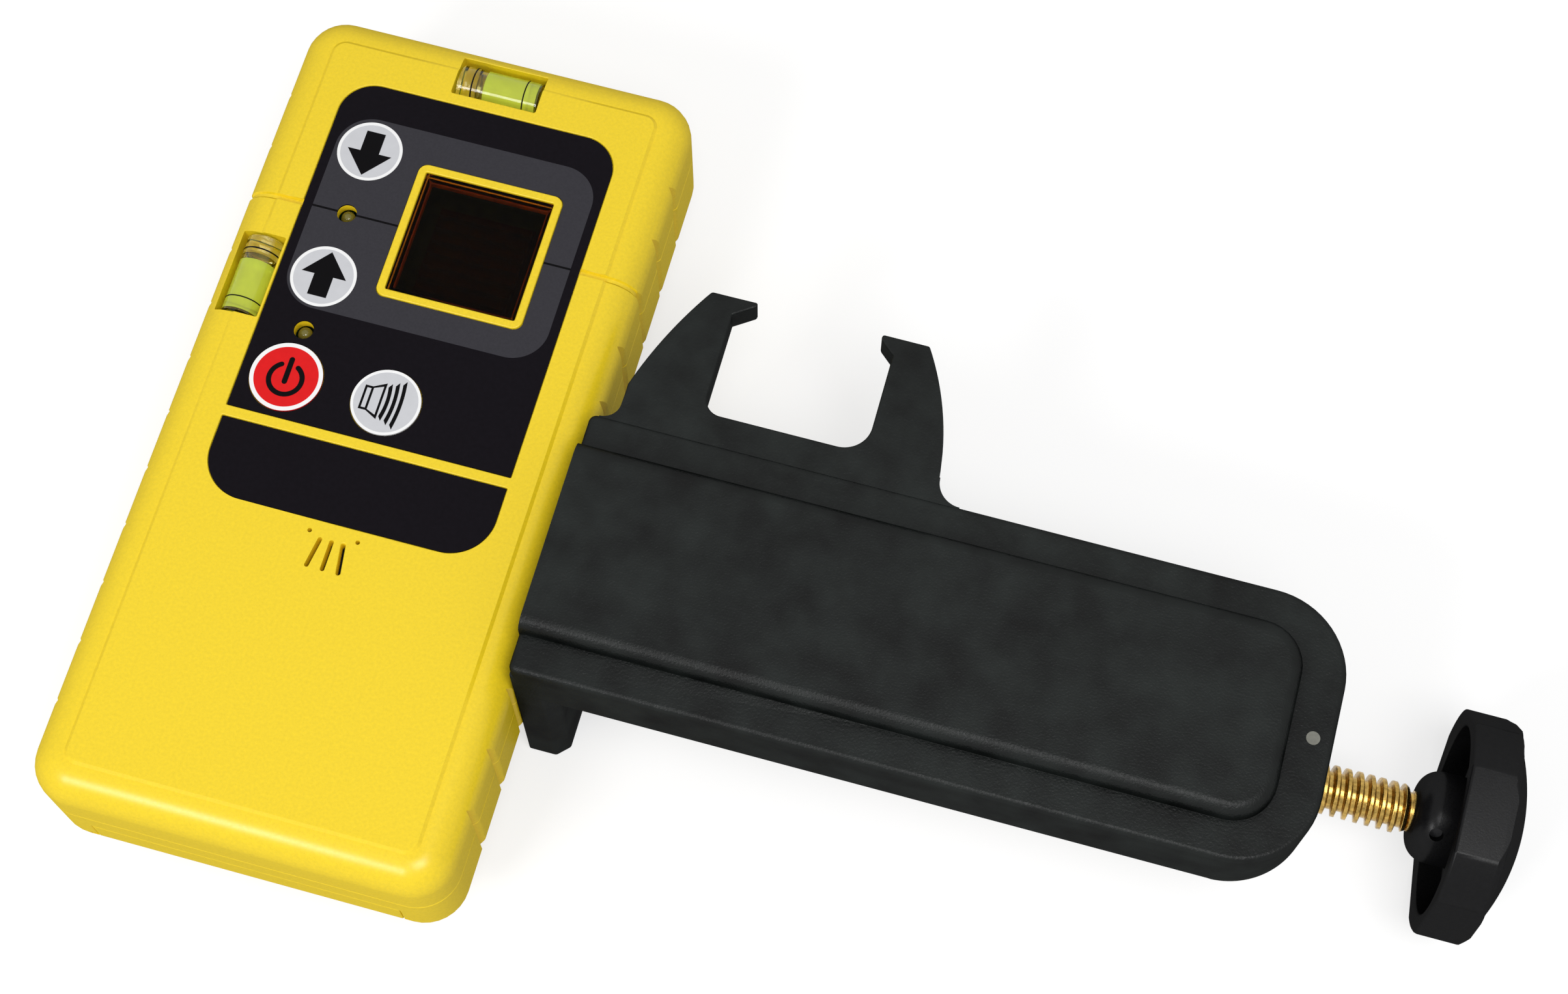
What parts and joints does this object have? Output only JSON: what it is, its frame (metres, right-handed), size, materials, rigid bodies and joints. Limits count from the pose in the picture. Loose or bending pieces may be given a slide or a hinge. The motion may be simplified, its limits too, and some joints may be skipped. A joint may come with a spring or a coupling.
{
  "type": "laser receiver",
  "caption": "Hand-held laser receiver with a window, lamps, buttons and level vials, on a rod clamp with a brass screw and a domed knob.",
  "frame": {"origin": "on the receiver's flat back, on its middle line, at the height of the grade line", "axes": "+X across the receiver towards the clamp's knob, +Y up the receiver to its end with the vial, +Z out of the receiver's front"},
  "size_m": [0.2753, 0.1734, 0.0566],
  "materials": {
    "case_yellow": "fine-grained satin",
    "seal_rubber": "matte",
    "steel": "satin",
    "label_print": "satin print",
    "window_amber": "polished, dark amber",
    "lens_grey": "satin",
    "lamp_amber": "polished",
    "button_red": "satin",
    "button_grey": "satin",
    "inner_plastic": "matte",
    "vial_clear": "clear acrylic",
    "vial_liquid": "clear yellow-green",
    "board_green": "satin",
    "battery_case": "satin",
    "brass": "machined",
    "clamp_black": "matte",
    "knob_black": "grained satin"
  },
  "bodies": {
    "receiver": {"front_shell": "case_yellow", "rear_shell": "case_yellow", "case_gasket": "seal_rubber", "case_screws": "steel", "upper_label": "label_print", "lower_label": "label_print", "window_filter": "window_amber", "down_arrow_lens": "lens_grey", "up_arrow_lens": "lens_grey", "grade_led": "lamp_amber", "power_led": "lamp_amber", "arrow_leds": "lamp_amber", "tact_switches": "inner_plastic", "top_vial": "vial_clear", "top_vial_liquid": "vial_liquid", "side_vial": "vial_clear", "side_vial_liquid": "vial_liquid", "circuit_board": "board_green", "photodiode_strip": "inner_plastic", "buzzer": "inner_plastic", "battery": "battery_case", "battery_contacts": "steel", "bracket_inserts": "brass", "bracket_screws": "steel", "bracket_arm": "clamp_black", "screw_nut": "brass", "nut_pin": "steel"},
    "power_button": {"power_button": "button_red"},
    "sound_button": {"sound_button": "button_grey"},
    "battery_door": {"battery_door": "case_yellow"},
    "jaw": {"sliding_jaw": "clamp_black"},
    "screw": {"clamp_screw": "brass", "jaw_retainer": "steel", "knob": "knob_black", "knob_grub_screw": "steel"}
  },
  "joints": [
    {"name": "power_press", "type": "slide", "parent": "receiver", "child": "power_button", "axis": [0, 0, -1], "range_m": [0, 0.0005], "stiffness_N_per_m": 1500},
    {"name": "sound_press", "type": "slide", "parent": "receiver", "child": "sound_button", "axis": [0, 0, -1], "range_m": [0, 0.0005], "stiffness_N_per_m": 1500},
    {"name": "door_slide", "type": "slide", "parent": "receiver", "child": "battery_door", "axis": [0, -1, 0], "range_m": [0, 0.034]},
    {"name": "jaw_slide", "type": "slide", "parent": "receiver", "child": "jaw", "axis": [1, 0, 0], "range_m": [-0.01816, 0.02951]},
    {"name": "knob_turn", "type": "hinge", "parent": "jaw", "child": "screw", "pos_m": [0.2131, -0.0587, 0.01], "axis": [1, 0, 0], "range_deg": [-2881, 4681]}
  ],
  "couplings": [
    {"joint": "knob_turn", "follows": "jaw_slide", "rad_per_m": 2767.9}
  ]
}
